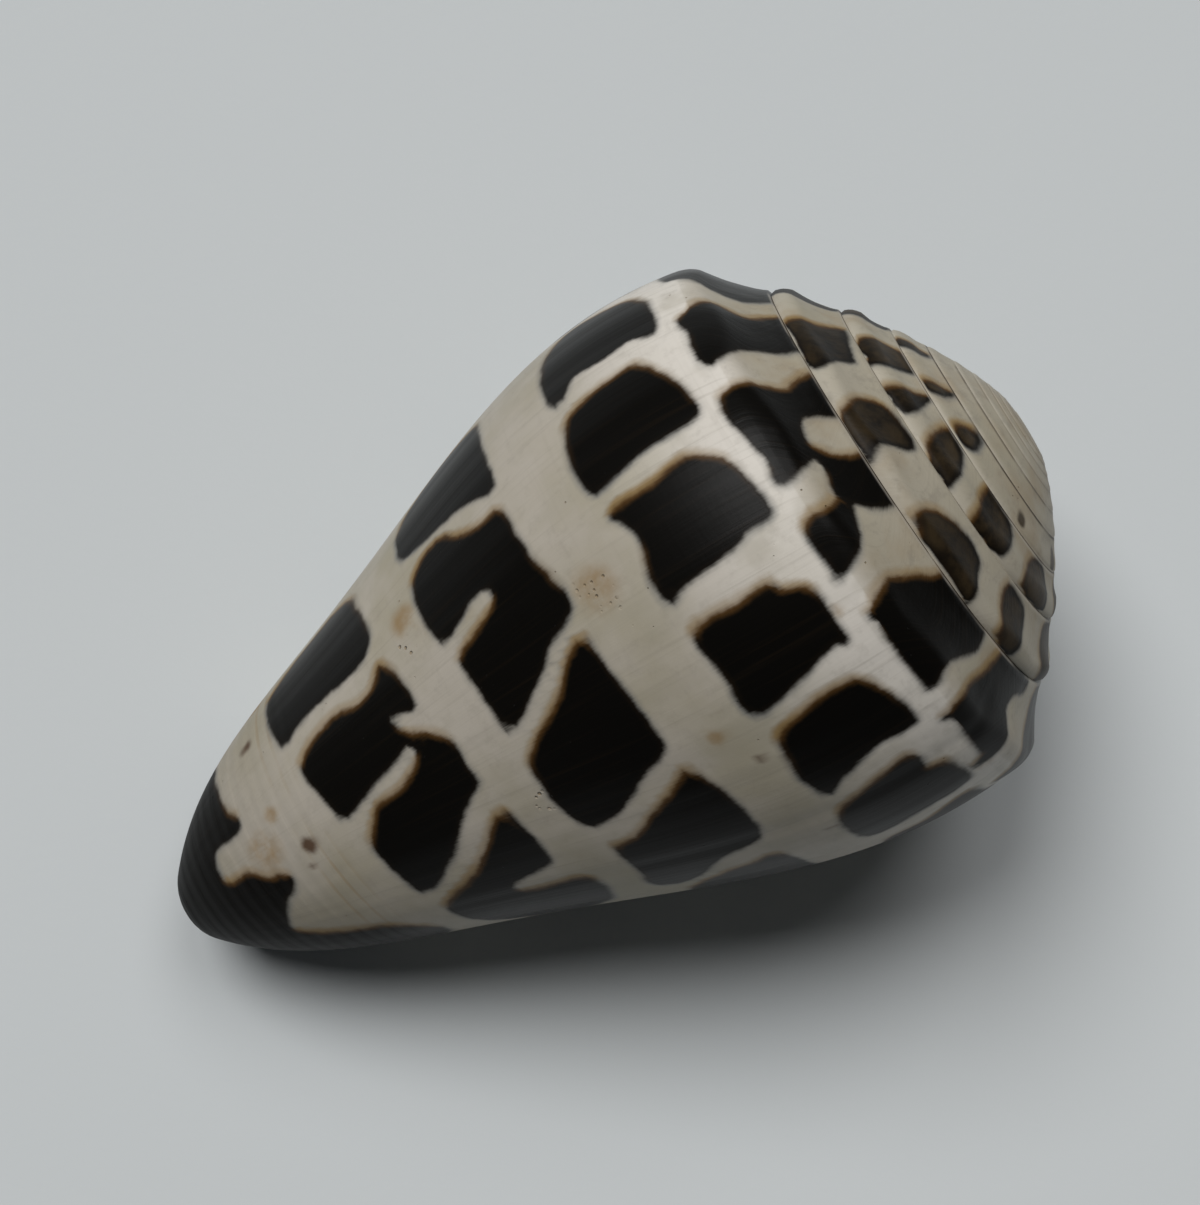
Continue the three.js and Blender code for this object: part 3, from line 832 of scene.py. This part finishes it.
def shell_material():
    """Glossy shell: cream-white with growth lines, and black blotches with stained edges."""
    n = Nodes("shell")
    mark, lead, faint, _ = n.attribute("mark")
    along, down, inside, grown = n.attribute("growth")
    brown, stain, pitted, _ = n.attribute("flaws")
    from_suture, size, turn, _ = n.attribute("spire")
    where = n.tree.nodes.new("ShaderNodeTexCoord").outputs["Object"]

    # Noise: clouds, patches, speckle and grain from coarse to fine; lines along each growth line;
    # threads round the shell.
    clouds = n.noise(where, (170, 170, 170), 4)
    patches = n.noise(where, (420, 420, 420), 3, offset=(3, 1, 7))
    grain = n.noise(where, (3200, 3200, 3200), 2)
    speckle = n.noise(where, (1500, 1500, 1500), 3, 0.7, (2, 8, 1))
    lines = n.noise(grown, (4.2, 0.10, 0), 4, 0.65)
    fine_lines = n.noise(grown, (13, 0.3, 0), 3, 0.6)
    threads = n.noise(grown, (0.12, 3.1, 0), 3, 0.6, offset=(9, 2, 0))

    # The pale ground, creamier on the ramp and up the spire, with grey growth lines.
    older = n.ramp(turn, 0.96, 1.04)
    spire = n.math("MAXIMUM", n.ramp(down, 0.3, -1.2), older)
    ground = n.blend(n.ramp(clouds, 0.38, 0.66), WHITE, CREAM)
    # Painted highlight: a band of brighter white from the ramp's edge to about 7.5 mm below the
    # shoulder.
    painted_highlight_band = n.times(n.ramp(down, 7.5, 0.5), n.ramp(down, -0.6, 0.2))
    ground = n.blend(n.times(painted_highlight_band, 0.72), ground, PAINTED_HIGHLIGHT)
    ground = n.blend(n.times(spire, 0.7), ground, CREAM)
    ground = n.blend(n.times(n.ramp(lines, 0.52, 0.72), 0.24), ground, GREY_LINE_AND_SHADE)
    ground = n.blend(n.times(n.ramp(threads, 0.52, 0.75), 0.08), ground, GREY_LINE_AND_SHADE)
    ground = n.blend(n.times(n.ramp(patches, 0.5, 0.72), 0.4), ground, WORN)
    # Painted shade: the ground is darkened with grey towards the front end, from 19 to 27 mm below
    # the shoulder.
    ground = n.blend(n.times(n.ramp(down, 19, 27), 0.3), ground, GREY_LINE_AND_SHADE)
    speckled = n.times(n.ramp(speckle, 0.5, 0.72), n.total(0.16, n.times(spire, 0.22)))
    ground = n.blend(speckled, ground, GREY_LINE_AND_SHADE)
    ground = n.blend(n.times(n.ramp(patches, 0.46, 0.7), spire, 0.3), ground, STAIN)
    uneven = n.ramp(n.total(patches, n.times(grain, 0.3)), 0.4, 0.85)
    ground = n.blend(n.times(n.ramp(stain, 0, 0.7), uneven, 0.85), ground, STAIN)
    pits = n.times(n.holes(where, 3400, 0.32), n.ramp(pitted, 0, 0.35))
    stray_pits = n.times(n.holes(where, 2300, 0.09), n.ramp(patches, 0.56, 0.66))
    any_pit = n.math("MAXIMUM", pits, stray_pits)
    ground = n.blend(n.times(any_pit, 0.6), ground, STAIN)

    # Fine raised cords run round the front end, with brown left in the first grooves.
    cords = n.math("SINE", n.total(n.times(down, 2 * math.pi / CORD_PITCH), n.times(threads, 2.5)))
    groove = n.times(n.ramp(cords, -0.4, -0.95), n.ramp(down, 22.3, 23.2), n.ramp(down, 24.6, 23.6))
    ground = n.blend(n.times(groove, n.ramp(clouds, 0.4, 0.62), 0.35), ground, STAIN)

    # Edges wander a little, more along the growth lines. The younger edge is stained rust and
    # ochre, the older one fades through blue-grey.
    wander = n.times(n.total(n.noise(where, (900, 900, 900), 3, 0.6, (5, 5, 5)), -0.5), 0.34)
    comb = n.times(n.total(fine_lines, -0.5), 0.10)
    edge = n.total(mark, wander, comb)
    younger = n.ramp(lead, -0.05, 0.8)
    fringe = n.blend(younger, BLUE_GREY, OCHRE)
    reach = n.total(edge, n.times(younger, 0.11), n.times(n.ramp(patches, 0.4, 0.7), 0.06))
    spread = n.total(0.40, n.times(n.ramp(clouds, 0.35, 0.65), 0.50))
    colour = n.blend(n.times(n.ramp(reach, -0.31, 0.03), spread), ground, fringe)
    rim = n.blend(younger, BROWN_BLACK, RUST)
    colour = n.blend(n.ramp(edge, -0.16, 0.09), colour, rim)
    streaks = n.blend(n.ramp(lines, 0.5, 0.75), BLACK, BROWN_BLACK)
    colour = n.blend(n.ramp(edge, -0.03, 0.28), colour, streaks)
    pale_mark = n.ramp(n.total(faint, wander), -0.14, 0.12)
    pale_share = n.total(0.55, n.times(n.ramp(patches, 0.35, 0.6), 0.4))
    colour = n.blend(n.times(pale_mark, pale_share), colour, WORN_BROWN)
    spot = n.ramp(n.total(brown, wander), 0.1, 0.7)
    colour = n.blend(n.times(spot, 0.9), colour, BROWN_SPOT)

    # The older whorls are worn: their blotches are mottled brown. Sutures get a dark seam of
    # painted shade in their crease, with a pale thread beside it on the younger whorls.
    mottle = n.ramp(n.total(patches, n.times(grain, 0.35)), 0.42, 0.82)
    worn_mark = n.blend(mottle, BROWN_BLACK, WORN_BROWN)
    worn_share = n.times(n.ramp(edge, 0.05, 0.35), older, n.ramp(size, 1.02, 0.55), 0.95)
    colour = n.blend(worn_share, colour, worn_mark)
    suture_shade = n.ramp(n.total(from_suture, n.times(n.total(patches, -0.5), 0.06)), 0.07, 0.015)
    suture_shade = n.times(suture_shade, n.ramp(patches, 0.36, 0.56), n.ramp(inside, 0.3, 0.1))
    suture_shade = n.times(suture_shade, n.total(0.25, n.times(n.ramp(turn, 5.4, 3.4), 0.7)))
    colour = n.blend(suture_shade, colour, SUTURE_SHADE)
    thread = n.times(n.ramp(from_suture, 0.03, 0.07), n.ramp(from_suture, 0.17, 0.1))
    thread = n.times(thread, n.ramp(patches, 0.35, 0.6), 0.5, n.ramp(turn, 3.6, 2.2))
    colour = n.blend(thread, colour, WHITE)

    # Inside the aperture it is porcelain, with the markings showing through near the lip.
    through = n.times(n.ramp(edge, -0.3, 0.4), n.ramp(along, 4.0, 0.6))
    porcelain = n.blend(n.times(through, 0.75), PORCELAIN, SHADE_THROUGH)
    colour = n.blend(n.ramp(inside, 0.3, 0.8), colour, porcelain)
    n.link(colour, n.shader.inputs["Base Color"])

    # Gloss and fine relief, both stronger or weaker with the place.
    dark = n.ramp(edge, -0.02, 0.1)
    rough = n.total(0.27, n.times(dark, -0.02), n.times(clouds, 0.14), n.times(any_pit, 0.3),
                    n.times(older, 0.1), n.times(n.ramp(inside, 0.3, 0.8), -0.14),
                    n.times(n.ramp(down, 21, 25), 0.16))
    n.link(rough, n.shader.inputs["Roughness"])

    base = n.ramp(down, 21.5, 24)
    height = n.total(
        n.times(lines, 0.45, n.total(1, n.times(base, -0.8))), n.times(fine_lines, 0.05),
        n.times(cords, base, 0.28),
        n.times(threads, n.total(0.1, n.times(base, 0.6))), n.times(grain, 0.08),
        n.times(speckle, spire, 0.5),
        n.times(any_pit, -3.5), n.times(dark, -0.25))
    n.bump(n.times(height, n.total(1, n.times(inside, -0.85))), SHELL_BUMP)
    n.shader.inputs["Specular IOR Level"].default_value = 0.075
    n.shader.inputs["IOR"].default_value = 1.5
    return n.material


def floor_material():
    """Plain pale card."""
    n = Nodes("card")
    where = n.tree.nodes.new("ShaderNodeTexCoord").outputs["Object"]
    clouds = n.noise(where, (9, 9, 9), 3)
    n.link(n.blend(clouds, CARD, CARD_LIGHT), n.shader.inputs["Base Color"])
    n.shader.inputs["Roughness"].default_value = 0.75
    n.bump(n.noise(where, (2500, 2500, 2500), 2), CARD_BUMP)
    return n.material


# ---- The scene

CAMERA_PLACE = Vector((-2.76, -0.67, 98.33)) * MM
CAMERA_TURN = (2.93, -1.55, -31.35)
FIELD_OF_VIEW = 28.34
CLIP_START = 0.002
FLOOR_SIZE = 3.0
SHARP_FROM = 60  # degrees between faces, beyond which an edge is shaded sharp
WORLD_COLOUR = (0.93, 0.97, 1.0, 1)
WORLD_STRENGTH, WORLD_SEEN = 0.035, 0.54


def add_shell():
    mesh = shell_mesh()
    mesh.shade_smooth()
    mesh.set_sharp_from_angle(angle=math.radians(SHARP_FROM))
    mesh.materials.append(shell_material())
    shell = bpy.data.objects.new("cone_shell_surface", mesh)
    bpy.context.collection.objects.link(shell)
    return shell


def add_floor():
    half = FLOOR_SIZE / 2
    mesh = bpy.data.meshes.new("floor")
    mesh.from_pydata([(-half, -half, 0), (half, -half, 0), (half, half, 0), (-half, half, 0)],
                     [], [(0, 1, 2, 3)])
    mesh.materials.append(floor_material())
    floor = bpy.data.objects.new("floor", mesh)
    bpy.context.collection.objects.link(floor)
    return floor


def add_camera():
    data = bpy.data.cameras.new("camera")
    data.sensor_fit = "HORIZONTAL"
    data.angle = math.radians(FIELD_OF_VIEW)
    data.clip_start = CLIP_START
    camera = bpy.data.objects.new("camera", data)
    camera.location = CAMERA_PLACE
    camera.rotation_euler = [math.radians(a) for a in CAMERA_TURN]
    bpy.context.collection.objects.link(camera)
    bpy.context.scene.camera = camera


def add_light(name, heading, height, spread, strength, colour):
    """A far soft light, even all over the floor.

    Its heading, anticlockwise from +X, its height and its spread, how wide it looks, are in
    degrees.
    """
    data = bpy.data.lights.new(name, "SUN")
    data.angle = math.radians(spread)
    data.energy = strength
    data.color = colour
    light = bpy.data.objects.new(name, data)
    angle, rise = math.radians(heading), math.radians(height)
    towards = Vector((math.cos(angle) * math.cos(rise), math.sin(angle) * math.cos(rise),
                      math.sin(rise)))
    light.rotation_euler = towards.to_track_quat("Z", "Y").to_euler()
    bpy.context.collection.objects.link(light)


def add_world():
    """Dim all round, but as pale as the floor where it is seen past it."""
    world = bpy.data.worlds.new("studio")
    world.use_nodes = True
    tree = world.node_tree
    background = tree.nodes["Background"]
    background.inputs["Color"].default_value = WORLD_COLOUR
    seen = tree.nodes.new("ShaderNodeLightPath").outputs["Is Camera Ray"]
    strength = tree.nodes.new("ShaderNodeMapRange")
    strength.inputs["To Min"].default_value = WORLD_STRENGTH
    strength.inputs["To Max"].default_value = WORLD_SEEN
    tree.links.new(seen, strength.inputs["Value"])
    tree.links.new(strength.outputs["Result"], background.inputs["Strength"])
    bpy.context.scene.world = world


add_camera()
shell = add_shell()
floor = add_floor()
add_world()
add_light("window", 93, 57, 30, 2.05, (1.0, 0.995, 0.985))
add_light("side_window", 38, 55, 26, 0.75, (1.0, 0.99, 0.98))
bpy.context.scene.view_settings.view_transform = "Standard"

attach(shell, "root")
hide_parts("cone_shell")
